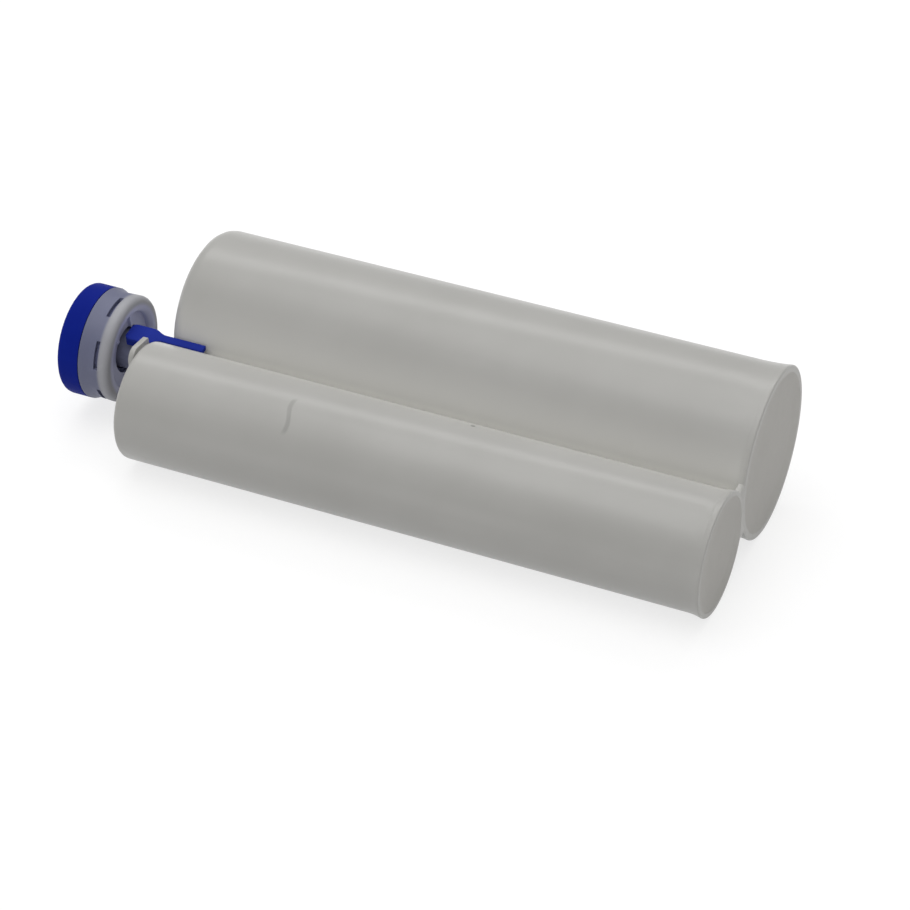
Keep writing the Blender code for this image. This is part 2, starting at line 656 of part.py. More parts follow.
def main():
    """Build every piece in its place."""
    clear_scene()
    natural = material("natural_plastic", (0.42, 0.41, 0.38), 0.45)
    collar = material("collar_plastic", (0.40, 0.41, 0.50), 0.45)
    blue = material("blue_plastic", (0.012, 0.024, 0.25), 0.35)
    rubber = material("seal_rubber", (0.02, 0.02, 0.02), 0.70)
    frame = lying_frame()

    ports = passages(
        "passages", PASSAGE_RADIUS, 0.0, BARREL_LENGTH - FRONT_WALL - OVERRUN, GRIP_FRONT + OVERRUN
    )
    barrel(
        "large_barrel", LARGE_BORE_RADIUS, LARGE_WALL, LARGE_SHOULDER_RADIUS, LARGE_Y, ports, natural, frame
    )
    barrel(
        "small_barrel", SMALL_BORE_RADIUS, SMALL_WALL, SMALL_SHOULDER_RADIUS, SMALL_Y, ports, natural, frame
    )
    rear_flange(natural, frame)
    outlet_neck(ports, natural, frame)
    piston("large_piston", LARGE_BORE_RADIUS, LARGE_Y, natural, rubber, frame)
    piston("small_piston", SMALL_BORE_RADIUS, SMALL_Y, natural, rubber, frame)
    collar_ring(collar, frame)
    closure_nut(blue, frame)
    outlet_plug(natural, frame)
    plug_gasket(ports, rubber, frame)
    lock_slider(blue, frame)


main()
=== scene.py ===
# %% [markdown]
# # A twin-barrel paste cartridge
# Two plastic barrels lie side by side and share one outlet with a blue screw closure.
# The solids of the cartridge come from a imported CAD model. This lesson gives them soft
# shading and finishes, adds the small moulded forms that solids leave out, and sets up
# the light and the camera.

# %% Load the solids
import json
import math

import bmesh
import bpy
from mathutils import Matrix, Vector

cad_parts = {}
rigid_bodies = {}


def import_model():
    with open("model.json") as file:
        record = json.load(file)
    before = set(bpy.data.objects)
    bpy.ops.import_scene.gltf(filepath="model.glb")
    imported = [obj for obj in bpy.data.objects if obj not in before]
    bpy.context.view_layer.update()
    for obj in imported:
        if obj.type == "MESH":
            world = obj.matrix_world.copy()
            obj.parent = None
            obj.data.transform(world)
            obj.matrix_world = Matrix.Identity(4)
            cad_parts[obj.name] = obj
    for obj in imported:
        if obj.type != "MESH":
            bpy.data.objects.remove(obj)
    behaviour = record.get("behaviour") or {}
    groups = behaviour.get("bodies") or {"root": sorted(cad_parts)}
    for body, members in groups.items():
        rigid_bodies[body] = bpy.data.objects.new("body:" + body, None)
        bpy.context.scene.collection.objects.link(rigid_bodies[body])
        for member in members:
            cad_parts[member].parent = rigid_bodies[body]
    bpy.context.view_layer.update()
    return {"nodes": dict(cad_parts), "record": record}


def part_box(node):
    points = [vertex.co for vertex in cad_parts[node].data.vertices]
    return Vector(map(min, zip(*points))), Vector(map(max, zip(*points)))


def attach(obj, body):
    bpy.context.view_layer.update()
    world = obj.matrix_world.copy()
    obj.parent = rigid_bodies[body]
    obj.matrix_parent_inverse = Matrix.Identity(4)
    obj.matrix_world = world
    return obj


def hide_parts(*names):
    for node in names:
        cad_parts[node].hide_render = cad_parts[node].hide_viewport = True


for leftover in list(bpy.data.objects):
    bpy.data.objects.remove(leftover)
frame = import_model()
solids = frame["nodes"]

# %% [markdown]
# ## Places that the lesson needs
# Everything is in metres. The barrels lie along X with their open ends at +X. The axes of
# the round pieces are read from the boxes of the solids, so that everything added later
# lands where the solids are. Numbers typed by hand would drift when a solid changes.

# %% Axes of the round pieces
MILLIMETRE = 0.001


def middle_of(name):
    """Middle of a solid's box."""
    low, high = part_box(name)
    return (Vector(low) + Vector(high)) / 2


outlet_axis = middle_of("closure_nut")
large_axis = middle_of("large_piston_seal")
small_axis = middle_of("small_piston_seal")
rear_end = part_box("rear_flange")[1][0]
collar_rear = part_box("collar_ring")[1][0]
collar_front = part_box("collar_ring")[0][0]
neck_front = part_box("outlet_neck")[0][0]
print("outlet axis:", outlet_axis, "large:", large_axis, "small:", small_axis)

# %% [markdown]
# ## Soft shading for the solids
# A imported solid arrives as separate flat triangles, so a barrel would show its facets.
# The mesh itself stays as it is. A small geometry-nodes modifier joins the triangles'
# corners again and shades everything smooth except where two faces meet at a sharp angle.
# Shade Auto Smooth does much the same by hand in the Object menu.

# %% A modifier that joins corners and shades by angle
CORNER_REACH = 0.002 * MILLIMETRE
SHARP_FROM = math.radians(33)


def soft_shading_nodes():
    """Geometry nodes that weld a solid and smooth it up to an angle."""
    group = bpy.data.node_groups.new("Soft shading", "GeometryNodeTree")
    group.interface.new_socket("Geometry", in_out="INPUT", socket_type="NodeSocketGeometry")
    group.interface.new_socket("Geometry", in_out="OUTPUT", socket_type="NodeSocketGeometry")
    start = group.nodes.new("NodeGroupInput")
    bare = group.nodes.new("GeometryNodeRemoveAttribute")
    bare.inputs["Name"].default_value = "custom_normal"
    weld = group.nodes.new("GeometryNodeMergeByDistance")
    weld.inputs["Distance"].default_value = CORNER_REACH
    faces = group.nodes.new("GeometryNodeSetShadeSmooth")
    faces.domain = "FACE"
    angle = group.nodes.new("GeometryNodeInputMeshEdgeAngle")
    gentle = group.nodes.new("FunctionNodeCompare")
    gentle.data_type = "FLOAT"
    gentle.operation = "LESS_THAN"
    gentle.inputs[1].default_value = SHARP_FROM
    edges = group.nodes.new("GeometryNodeSetShadeSmooth")
    edges.domain = "EDGE"
    end = group.nodes.new("NodeGroupOutput")
    link = group.links.new
    link(start.outputs[0], bare.inputs["Geometry"])
    link(bare.outputs["Geometry"], weld.inputs["Geometry"])
    link(weld.outputs["Geometry"], faces.inputs["Geometry"])
    link(faces.outputs["Geometry"], edges.inputs["Geometry"])
    link(angle.outputs["Unsigned Angle"], gentle.inputs[0])
    link(gentle.outputs[0], edges.inputs["Shade Smooth"])
    link(edges.outputs["Geometry"], end.inputs[0])
    return group


soft_shading = soft_shading_nodes()
for solid in solids.values():
    modifier = solid.modifiers.new("Soft shading", "NODES")
    modifier.node_group = soft_shading
print("soft shading on", len(solids), "solids")

# %% [markdown]
# ## A shared effect: the skin of moulded plastic
# Injection-moulded plastic is never one flat colour. It has broad clouds of tone where it
# cooled unevenly, faint flow lines along the way it filled the mould, and a very fine grain
# that breaks up the gloss. One shader node group gives all three, and each finish places it
# with its own sizes.

# %% Node group: moulded skin
FLOW_STRETCH = (0.03, 1.0, 1.0)
SKIN_SCALES = (("Cloud", 40.0), ("Flow", 300.0), ("Grain", 1800.0))


def moulded_skin_group():
    """Node group with cloud, flow and grain masks in object space."""
    group = bpy.data.node_groups.new("Moulded skin", "ShaderNodeTree")
    face = group.interface
    for title, scale in SKIN_SCALES:
        size = face.new_socket(title + " Scale", in_out="INPUT", socket_type="NodeSocketFloat")
        size.default_value = scale
    for title, _ in SKIN_SCALES:
        face.new_socket(title, in_out="OUTPUT", socket_type="NodeSocketFloat")
    start = group.nodes.new("NodeGroupInput")
    end = group.nodes.new("NodeGroupOutput")
    place = group.nodes.new("ShaderNodeTexCoord")
    link = group.links.new

    def noise(title, vector, detail, roughness):
        texture = group.nodes.new("ShaderNodeTexNoise")
        texture.inputs["Detail"].default_value = detail
        texture.inputs["Roughness"].default_value = roughness
        link(start.outputs[title + " Scale"], texture.inputs["Scale"])
        link(vector, texture.inputs["Vector"])
        link(texture.outputs["Fac"], end.inputs[title])

    stretch = group.nodes.new("ShaderNodeMapping")
    stretch.inputs["Scale"].default_value = FLOW_STRETCH
    link(place.outputs["Object"], stretch.inputs["Vector"])
    noise("Cloud", place.outputs["Object"], detail=3.0, roughness=0.55)
    noise("Flow", stretch.outputs["Vector"], detail=2.0, roughness=0.5)
    noise("Grain", place.outputs["Object"], detail=2.0, roughness=0.6)
    return group


moulded_skin = moulded_skin_group()
print("node group:", moulded_skin.name)

# %% [markdown]
# ## Small helpers for nodes
# Most finishes need the same few steps: link two sockets, do a sum, ramp a value smoothly,
# mix two colours, and read the place on the object. Short functions keep the recipes
# readable. In the Shader Editor each of them is one or two nodes.

# %% Helpers: sums and ramps
NOISE_LOW = 0.3
NOISE_HIGH = 0.7


def feed(tree, value, socket):
    """Gives a socket a link, a colour or a number."""
    if isinstance(value, bpy.types.NodeSocket):
        tree.links.new(value, socket)
    elif isinstance(value, tuple):
        socket.default_value = (*value, 1.0)
    elif value is not None:
        socket.default_value = value


def number(tree, operation, first, second=None):
    """Math node of sockets or numbers."""
    node = tree.nodes.new("ShaderNodeMath")
    node.operation = operation
    feed(tree, first, node.inputs[0])
    feed(tree, second, node.inputs[1])
    return node.outputs[0]


def ramp(tree, value, start, end):
    """Smooth step from 0 at start to 1 at end."""
    node = tree.nodes.new("ShaderNodeMapRange")
    node.interpolation_type = "SMOOTHSTEP"
    node.inputs["From Min"].default_value = start
    node.inputs["From Max"].default_value = end
    feed(tree, value, node.inputs["Value"])
    return node.outputs["Result"]


def spread(tree, noise, low, high):
    """Turns the usual range of a noise into low to high."""
    node = tree.nodes.new("ShaderNodeMapRange")
    node.inputs["From Min"].default_value = NOISE_LOW
    node.inputs["From Max"].default_value = NOISE_HIGH
    node.inputs["To Min"].default_value = low
    node.inputs["To Max"].default_value = high
    feed(tree, noise, node.inputs["Value"])
    return node.outputs["Result"]


print("helpers for sums and ramps ready")

# %% [markdown]
# A Mix node keeps sockets for every kind of data, and the three numbers below are the ones
# for colours. Distances are put together from squares, because a Math node has no vectors.

# %% Helpers: colours and places
MIX_FIRST = 6
MIX_SECOND = 7
MIX_RESULT = 2


def mixed(tree, factor, first, second):
    """Mix node from the first colour to the second."""
    node = tree.nodes.new("ShaderNodeMix")
    node.data_type = "RGBA"
    feed(tree, factor, node.inputs[0])
    feed(tree, first, node.inputs[MIX_FIRST])
    feed(tree, second, node.inputs[MIX_SECOND])
    return node.outputs[MIX_RESULT]


def place_parts(tree):
    """Sockets of object X, Y and Z."""
    where = tree.nodes.new("ShaderNodeTexCoord")
    parts = tree.nodes.new("ShaderNodeSeparateXYZ")
    feed(tree, where.outputs["Object"], parts.inputs["Vector"])
    return parts.outputs["X"], parts.outputs["Y"], parts.outputs["Z"]


def diagonal(tree, first, second):
    """Length of the diagonal of two sides at a right angle."""
    first_square = number(tree, "MULTIPLY", first, first)
    second_square = number(tree, "MULTIPLY", second, second)
    return number(tree, "SQRT", number(tree, "ADD", first_square, second_square))


def distance_from(tree, across, upward, line):
    """Distance from a line along X."""
    y = number(tree, "SUBTRACT", across, line.y)
    z = number(tree, "SUBTRACT", upward, line.z)
    return diagonal(tree, y, z)


print("helpers for colours and places ready")

# %% [markdown]
# ## A shared recipe for the plastic finishes
# Each finish mixes two close tones by the cloud mask, shifts them a little by the flow
# lines, lets the grain drive the roughness and gives a whisper of bump. The constant
# values sit on the Principled shader itself.

# %% Recipe: a plastic finish from two tones
GRAIN_DEPTH = 0.05 * MILLIMETRE
FLOW_SHARE = 0.35
PLASTIC_IOR = 1.49


def moulded_finish(name, deep, pale, cloud, flow, grain, rough, bump):
    """Plastic material with its Principled shader and base colour socket."""
    finish = bpy.data.materials.new(name)
    finish.use_nodes = True
    tree = finish.node_tree
    shader = tree.nodes["Principled BSDF"]
    shader.inputs["IOR"].default_value = PLASTIC_IOR
    skin = tree.nodes.new("ShaderNodeGroup")
    skin.node_tree = moulded_skin
    skin.inputs["Cloud Scale"].default_value = cloud
    skin.inputs["Flow Scale"].default_value = flow
    skin.inputs["Grain Scale"].default_value = grain
    tone = mixed(tree, spread(tree, skin.outputs["Cloud"], 0.0, 1.0), deep, pale)
    tone = mixed(tree, spread(tree, skin.outputs["Flow"], 0.0, FLOW_SHARE), tone, deep)
    feed(tree, tone, shader.inputs["Base Color"])
    feed(tree, spread(tree, skin.outputs["Grain"], *rough), shader.inputs["Roughness"])
    relief = tree.nodes.new("ShaderNodeBump")
    relief.inputs["Strength"].default_value = bump
    relief.inputs["Distance"].default_value = GRAIN_DEPTH
    feed(tree, skin.outputs["Grain"], relief.inputs["Height"])
    feed(tree, relief.outputs["Normal"], shader.inputs["Normal"])
    return finish, shader, tone


print("plastic recipe ready")

# %% [markdown]
# ## Natural plastic
# The barrels, the rims and the plug are uncoloured plastic: a warm light grey with a soft
# sheen. A half-glossy roughness gives the long pale streak along the top of each barrel.
# The pistons are duller and a shade warmer than the barrels.

# %% Natural plastic
NATURAL_TONES = ((0.400, 0.395, 0.376), (0.436, 0.431, 0.412))
NATURAL_ROUGH = (0.28, 0.35)
PISTON_TONES = ((0.434, 0.423, 0.398), (0.466, 0.454, 0.428))
PISTON_ROUGH = (0.50, 0.60)
PISTON_SPECULAR = 0.25


def natural_finish(name, tones=NATURAL_TONES, rough=NATURAL_ROUGH):
    """Uncoloured plastic, with its shader and base colour."""
    return moulded_finish(
        name, *tones, cloud=28.0, flow=260.0, grain=1500.0, rough=rough, bump=0.10)


natural_plastic, _, _ = natural_finish("Natural plastic")
piston_plastic, piston_shader, _ = natural_finish("Piston plastic", PISTON_TONES, PISTON_ROUGH)
piston_shader.inputs["Specular IOR Level"].default_value = PISTON_SPECULAR
print("finishes:", natural_plastic.name, "and", piston_plastic.name)

# %% [markdown]
# ## Barrel plastic
# The thin walls of the barrels let light through. Where the barrels touch, each wall hands
# light on to the other, so the valley between them stays pale instead of going dark. Real
# subsurface scattering would lose that light inside the hollow barrels. Blends to paler
# tones near the line where they touch give the same look: one for the wide valley, one for
# the narrow cleft at its bottom. The deepest part goes back to the plain tone. The blends
# fade out on the web at the rear, and the cut end faces are toned down to the dull pistons.

# %% Barrel plastic
LARGE_RADIUS = 28.6 * MILLIMETRE
SMALL_RADIUS = 20.2 * MILLIMETRE
VALLEY_TONE = (0.64, 0.634, 0.606)
VALLEY_EDGE = 28.0 * MILLIMETRE
VALLEY_FLOOR = 7.5 * MILLIMETRE
CLEFT_TONE = (0.82, 0.812, 0.776)
CLEFT_EDGE = 10.5 * MILLIMETRE
CLEFT_FLOOR = 6.0 * MILLIMETRE
DEEP_TONE = NATURAL_TONES[0]
DEEP_EDGE = 6.6 * MILLIMETRE
DEEP_FLOOR = 5.2 * MILLIMETRE
FADE_START = -1.4 * MILLIMETRE
FADE_END = 3.6 * MILLIMETRE
END_TONE = (0.350, 0.342, 0.320)
END_SKIN = 0.015 * MILLIMETRE
touch_line = small_axis.lerp(large_axis, SMALL_RADIUS / (SMALL_RADIUS + LARGE_RADIUS))


def barrel_finish(name):
    """Natural plastic that is paler where the barrels touch."""
    finish, shader, tone = natural_finish(name)
    tree = finish.node_tree
    along, across, upward = place_parts(tree)
    away = distance_from(tree, across, upward, touch_line)
    before_web = ramp(tree, along, rear_end - FADE_START, rear_end - FADE_END)
    for nearer, edge, floor in (
            (VALLEY_TONE, VALLEY_EDGE, VALLEY_FLOOR),
            (CLEFT_TONE, CLEFT_EDGE, CLEFT_FLOOR),
            (DEEP_TONE, DEEP_EDGE, DEEP_FLOOR)):
        share = number(tree, "MULTIPLY", ramp(tree, away, edge, floor), before_web)
        tone = mixed(tree, share, tone, nearer)
    end_face = ramp(tree, along, rear_end - 2 * END_SKIN, rear_end - END_SKIN)
    tone = mixed(tree, end_face, tone, END_TONE)
    feed(tree, tone, shader.inputs["Base Color"])
    return finish, shader, tone


barrel_plastic, _, _ = barrel_finish("Barrel plastic")
print("finish:", barrel_plastic.name, "touching at", touch_line)

# %% [markdown]
# ## A pressed mark on the small barrel
# A short crease runs a little way round the small barrel, where the thin wall was pressed.
# It is too shallow for a mesh of its own, so its place along the barrel and its angle
# round it make a mask. A sine bends the crease into a slight S. The mask sinks the
# plastic through the bump and darkens it with painted shade, as shade falls in a crease.

# %% Small barrel plastic: the mask of the crease
MARK_PLACE = -26.0 * MILLIMETRE
MARK_HALF_WIDTH = 1.15 * MILLIMETRE
MARK_CORE = 0.3
MARK_MIDDLE = math.radians(-31)
MARK_HALF_ANGLE = math.radians(21)
MARK_FULL = 0.7
MARK_BEND = 0.75 * MILLIMETRE

small_barrel_plastic, small_shader, small_tone = barrel_finish("Small barrel plastic")
tree = small_barrel_plastic.node_tree
along, across, upward = place_parts(tree)
aside = number(tree, "SUBTRACT", across, small_axis.y)
above = number(tree, "SUBTRACT", upward, small_axis.z)
around = number(tree, "ARCTAN2", aside, above)
past_middle = number(tree, "SUBTRACT", around, MARK_MIDDLE)
off_middle = number(tree, "ABSOLUTE", past_middle)
phase = number(tree, "MULTIPLY", past_middle, math.pi / MARK_HALF_ANGLE)
bend = number(tree, "MULTIPLY", number(tree, "SINE", phase), -MARK_BEND)
mark_line = number(tree, "ADD", bend, MARK_PLACE)
off_line = number(tree, "ABSOLUTE", number(tree, "SUBTRACT", along, mark_line))
line = ramp(tree, off_line, MARK_HALF_WIDTH, MARK_CORE * MARK_HALF_WIDTH)
reach = ramp(tree, off_middle, MARK_HALF_ANGLE, MARK_FULL * MARK_HALF_ANGLE)
mark = number(tree, "MULTIPLY", line, reach)
print("crease at", MARK_PLACE, "m along the small barrel")

# %% [markdown]
# A dark speck in the plastic sits further back, near the top. It is a small ball of tone
# round one point, which needs no picture and no extra piece.

# %% Small barrel plastic: crease and speck
# Painted shade in the crease.
CREASE_SHADE_TONE = (0.335, 0.331, 0.315)
MARK_DEPTH = 0.1 * MILLIMETRE
MARK_STRENGTH = 0.5
SPECK_PLACE = Vector((31.3, -21.3, 40.0)) * MILLIMETRE
SPECK_RADIUS = 1.0 * MILLIMETRE
SPECK_CORE = 0.5
SPECK_TONE = (0.15, 0.147, 0.134)

beside = distance_from(tree, across, upward, SPECK_PLACE)
behind = number(tree, "SUBTRACT", along, SPECK_PLACE.x)
from_speck = diagonal(tree, beside, behind)
speck = ramp(tree, from_speck, SPECK_RADIUS, SPECK_CORE * SPECK_RADIUS)
# The crease is darkened with painted shade.
crease_shaded = mixed(tree, mark, small_tone, CREASE_SHADE_TONE)
feed(tree, mixed(tree, speck, crease_shaded, SPECK_TONE), small_shader.inputs["Base Color"])
dent = tree.nodes.new("ShaderNodeBump")
dent.invert = True
dent.inputs["Strength"].default_value = MARK_STRENGTH
dent.inputs["Distance"].default_value = MARK_DEPTH
feed(tree, mark, dent.inputs["Height"])
feed(tree, dent.outputs["Normal"], tree.nodes["Bump"].inputs["Normal"])
print("finish:", small_barrel_plastic.name)

# %% [markdown]
# ## Blue plastic
# The nut and the lock slider are coloured right through, deep blue and satin. The slider is
# a little lighter. The sleeve of the nut lies under the slotted collar. Through the slots
# and in the mouth it lies in shade, so the nut fades to a hazy slate tone there. The slate
# is painted shade, lightened a little as painted reflected light.

# %% Blue plastic
NUT_TONES = ((0.0046, 0.0138, 0.214), (0.0058, 0.0175, 0.250))
SLIDER_TONES = ((0.0145, 0.0285, 0.258), (0.0178, 0.0340, 0.298))
BLUE_SPECULAR = 0.03
SLEEVE_SHADE_TONE = (0.155, 0.165, 0.275)
SLEEVE_FADE = 0.2 * MILLIMETRE


def blue_finish(name, tones):
    """Blue plastic, with its shader and base colour."""
    finish, shader, tone = moulded_finish(
        name, *tones, cloud=60.0, flow=350.0, grain=2200.0, rough=(0.48, 0.6), bump=0.15)
    shader.inputs["Specular IOR Level"].default_value = BLUE_SPECULAR
    return finish, shader, tone


blue_plastic, _, _ = blue_finish("Blue plastic", SLIDER_TONES)
nut_plastic, nut_shader, nut_tone = blue_finish("Nut plastic", NUT_TONES)
tree = nut_plastic.node_tree
along, _, _ = place_parts(tree)
# Painted shade: under the collar the nut fades to a slate tone for shade and reflected blue.
under_collar = ramp(tree, along, collar_front - SLEEVE_FADE, collar_front)
feed(tree, mixed(tree, under_collar, nut_tone, SLEEVE_SHADE_TONE), nut_shader.inputs["Base Color"])
print("finishes:", blue_plastic.name, "and", nut_plastic.name)

# %% [markdown]
# ## Black rubber
# The seal rings and the gasket are hidden in the closed cartridge, and show when it opens.
# The plastic recipe serves for rubber too, with a rough surface and a stronger grain.

# %% Black rubber
RUBBER_TONES = ((0.014, 0.014, 0.015), (0.028, 0.027, 0.026))

black_rubber, _, _ = moulded_finish(
    "Black rubber", *RUBBER_TONES,
    cloud=120.0, flow=500.0, grain=2600.0, rough=(0.65, 0.8), bump=0.3)
print("finish:", black_rubber.name)

# %% [markdown]
# ## Collar plastic
# The slotted collar is a thin natural ring over the blue sleeve of the nut. Blue shows
# through its band, which turns lavender. The thick rear bead stays pale grey, and the mouth
# inside it is a paler lavender, because light comes through the ring from outside. The
# distance from the outlet axis and the place along it tell the three apart.

# %% Collar plastic
BEAD_TONES = ((0.325, 0.327, 0.355), (0.362, 0.364, 0.390))
BEAD_RADIUS = 17.0 * MILLIMETRE
BEAD_START = 4.6 * MILLIMETRE
BEAD_FULL = 3.0 * MILLIMETRE
BAND_TONE = (0.136, 0.146, 0.230)
MOUTH_TONE = (0.46, 0.475, 0.66)
MOUTH_RADIUS = 15.0 * MILLIMETRE

collar_plastic, collar_shader, collar_tone = moulded_finish(
    "Collar plastic", *BEAD_TONES,
    cloud=60.0, flow=300.0, grain=1800.0, rough=(0.45, 0.55), bump=0.12)
tree = collar_plastic.node_tree
along, across, upward = place_parts(tree)
from_axis = distance_from(tree, across, upward, outlet_axis)
outward = ramp(tree, from_axis, MOUTH_RADIUS, BEAD_RADIUS)
backward = ramp(tree, along, collar_rear - BEAD_START, collar_rear - BEAD_FULL)
outside = mixed(tree, backward, BAND_TONE, collar_tone)
feed(tree, mixed(tree, outward, MOUTH_TONE, outside), collar_shader.inputs["Base Color"])
print("finish:", collar_plastic.name)

# %% [markdown]
# ## Neck plastic
# The neck and its plate are natural plastic too. Between the plate and the collar the neck
# lies in the shade of the nut and picks up blue from it, so it fades to slate there.

# %% Neck plastic
SLATE_TONE = (0.215, 0.225, 0.325)
SLATE_FROM = -91.6 * MILLIMETRE
SLATE_FULL = -92.6 * MILLIMETRE

neck_plastic, neck_shader, neck_tone = natural_finish("Neck plastic")
tree = neck_plastic.node_tree
along, _, _ = place_parts(tree)
forward_share = ramp(tree, along, SLATE_FROM, SLATE_FULL)
feed(tree, mixed(tree, forward_share, neck_tone, SLATE_TONE), neck_shader.inputs["Base Color"])
print("finish:", neck_plastic.name)

# %% [markdown]
# ## Finishes on the solids
# Each solid names a material slot. Most take the finish of that slot, and a few pieces have
# a finish of their own. A table of names does this in one loop.

# %% Give every solid its finish
finish_of_slot = {
    "natural_plastic": natural_plastic,
    "collar_plastic": collar_plastic,
    "blue_plastic": blue_plastic,
    "seal_rubber": black_rubber,
}
finish_of_solid = {
    "large_barrel": barrel_plastic,
    "small_barrel": small_barrel_plastic,
    "outlet_neck": neck_plastic,
    "closure_nut": nut_plastic,
    "large_piston": piston_plastic,
    "small_piston": piston_plastic,
    "large_piston_vent_pin": piston_plastic,
    "small_piston_vent_pin": piston_plastic,
}
for subpart in frame["record"]["subparts"]:
    node = subpart["node"]
    finish = finish_of_solid.get(node, finish_of_slot[subpart["material_slot"]])
    for place in solids[node].material_slots:
        place.material = finish
print("finishes given to", len(solids), "solids")

# %% [markdown]
# ## Pieces in mesh code
# The pieces that follow are all made as points and faces. One helper turns these into an
# object: it points the faces outward, shades them smooth up to an angle, and hands the
# piece to the body that carries it.

# %% Helper: a piece from points and faces
PIECE_SHARP = 40


def mesh_piece(name, points, faces, finish, body, sharp_from=PIECE_SHARP):
    """Object from points and faces that rides on a body."""
    form = bmesh.new()
    corners = [form.verts.new(point) for point in points]
    for face in faces:
        form.faces.new([corners[index] for index in face])
    bmesh.ops.recalc_face_normals(form, faces=form.faces)
    mesh = bpy.data.meshes.new(name)
    form.to_mesh(mesh)
    form.free()
    mesh.materials.append(finish)
    mesh.shade_smooth()
    mesh.set_sharp_from_angle(angle=math.radians(sharp_from))
    piece = bpy.data.objects.new(name, mesh)
    bpy.context.scene.collection.objects.link(piece)
    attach(piece, body)
    print(name + ":", len(mesh.polygons), "faces")
    return piece


print("mesh helper ready")

# %% [markdown]
# ## The screw thread
# A single right-hand thread with a pitch of 4 mm holds the nut on the neck. Each half of it
# is a low ridge wound as a helix. The Screw modifier could wind it too, but a sweep of a
# small profile in code lets the height fade out at both ends, as on a moulded thread.

# %% Helper: a helical ridge
THREAD_PITCH = 4.0 * MILLIMETRE
THREAD_TURNS = 1.75
THREAD_HALF_ROOT = 0.95 * MILLIMETRE
THREAD_HALF_CREST = 0.45 * MILLIMETRE
THREAD_CORNERS = 4
THREAD_SHARP = 50
STEPS_PER_TURN = 48
FADE_STEPS = 10
FADE_REST = 0.04


def thread_ridge(name, root, crest, front, start_angle, finish, body):
    """Ridge wound about the outlet axis from root radius to crest radius."""
    steps = int(STEPS_PER_TURN * THREAD_TURNS)
    points = []
    for step in range(steps + 1):
        share = step / steps
        turn = start_angle + 2 * math.pi * THREAD_TURNS * share
        fade = min(1.0, step / FADE_STEPS, (steps - step) / FADE_STEPS)
        tip = root + (crest - root) * max(fade, FADE_REST)
        place = front + THREAD_PITCH * THREAD_TURNS * share
        middle = Vector((place, outlet_axis.y, outlet_axis.z))
        out = Vector((0.0, math.cos(turn), math.sin(turn)))
        for offset, radius in (
                (-THREAD_HALF_ROOT, root), (-THREAD_HALF_CREST, tip),
                (THREAD_HALF_CREST, tip), (THREAD_HALF_ROOT, root)):
            points.append(middle + Vector((offset, 0.0, 0.0)) + out * radius)
    faces = []
    for step in range(steps):
        here = THREAD_CORNERS * step
        there = here + THREAD_CORNERS
        for side in range(THREAD_CORNERS):
            after = (side + 1) % THREAD_CORNERS
            faces.append((here + side, here + after, there + after, there + side))
    last = THREAD_CORNERS * steps
    faces.append(tuple(reversed(range(THREAD_CORNERS))))
    faces.append(tuple(range(last, last + THREAD_CORNERS)))
    mesh_piece(name, points, faces, finish, body, THREAD_SHARP)


print("thread helper ready")

# %% [markdown]
# The neck carries one ridge outside and the nut one inside, half a turn apart, so that
# they lie between each other. Each root sinks a little into its wall, and no gap shows.

# %% The two halves of the thread
NECK_RADIUS = 6.6 * MILLIMETRE
HUB_BORE_RADIUS = 7.4 * MILLIMETRE
THREAD_HEIGHT = 0.35 * MILLIMETRE
THREAD_SINK = 0.05 * MILLIMETRE
THREAD_SET_BACK = 1.6 * MILLIMETRE
thread_start = neck_front + THREAD_SET_BACK
thread_ridge(
    "neck_thread", NECK_RADIUS - THREAD_SINK, NECK_RADIUS + THREAD_HEIGHT,
    thread_start, 0.0, natural_plastic, "cartridge")
thread_ridge(
    "nut_thread", HUB_BORE_RADIUS + THREAD_SINK, HUB_BORE_RADIUS - THREAD_HEIGHT,
    thread_start, math.pi, nut_plastic, "nut_body")

# %% [markdown]
# ## The flared rear rims
# At the open ends the barrels spread a little into rims that are tied by a short web. The
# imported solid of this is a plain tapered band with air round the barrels. A loft follows
# the barrels closely instead: one loop runs round both barrels, and the loops are stacked
# along X with a spread that swells towards the rear end, faster on the small barrel. The
# points of every loop sit at the same angles, so that no face of the loft folds over.

# %% Helpers: arcs and sides of a loop
LOOP_STEPS = 96
WEB_STEPS = 8
lean = math.atan2(large_axis.z - small_axis.z, large_axis.y - small_axis.y)


def arc(x, axis, radius, start, end, steps):
    """Points of an arc about an axis along X, with both ends."""
    points = []
    for step in range(steps + 1):
        angle = lean + start + (end - start) * step / steps
        y = axis.y + radius * math.cos(angle)
        z = axis.z + radius * math.sin(angle)
        points.append(Vector((x, y, z)))
    return points


def far_sides(x, large, small, large_gap, small_gap):
    """Arcs round the two barrels that leave gaps towards each other."""
    large_from, large_to = math.pi + large_gap, 3 * math.pi - large_gap
    small_from, small_to = small_gap, 2 * math.pi - small_gap
    round_large = arc(x, large_axis, large, large_from, large_to, LOOP_STEPS)
    round_small = arc(x, small_axis, small, small_from, small_to, LOOP_STEPS)
    return round_large, round_small


def straight_side(start, end):
    """Points between two points on one side of the web."""
    steps = 2 * WEB_STEPS + 1
    return [start.lerp(end, step / steps) for step in range(1, steps)]


print("lean of the pair of barrels:", round(math.degrees(lean), 2), "degrees")

# %% [markdown]
# An outer loop crosses from barrel to barrel in straight lines. An inner loop follows the
# barrels down to where they touch, so that it hugs their walls.

# %% Helpers: loops round both barrels
WEB_OPENING = 0.1 * MILLIMETRE


def outer_loop(x, large_spread, small_spread, waist):
    """Points round both barrels, with straight sides between them."""
    large = LARGE_RADIUS + large_spread
    small = SMALL_RADIUS + small_spread
    round_large, round_small = far_sides(
        x, large, small, math.asin(waist / large), math.asin(waist / small))
    upper = straight_side(round_large[-1], round_small[0])
    lower = straight_side(round_small[-1], round_large[0])
    return round_large + upper + round_small + lower


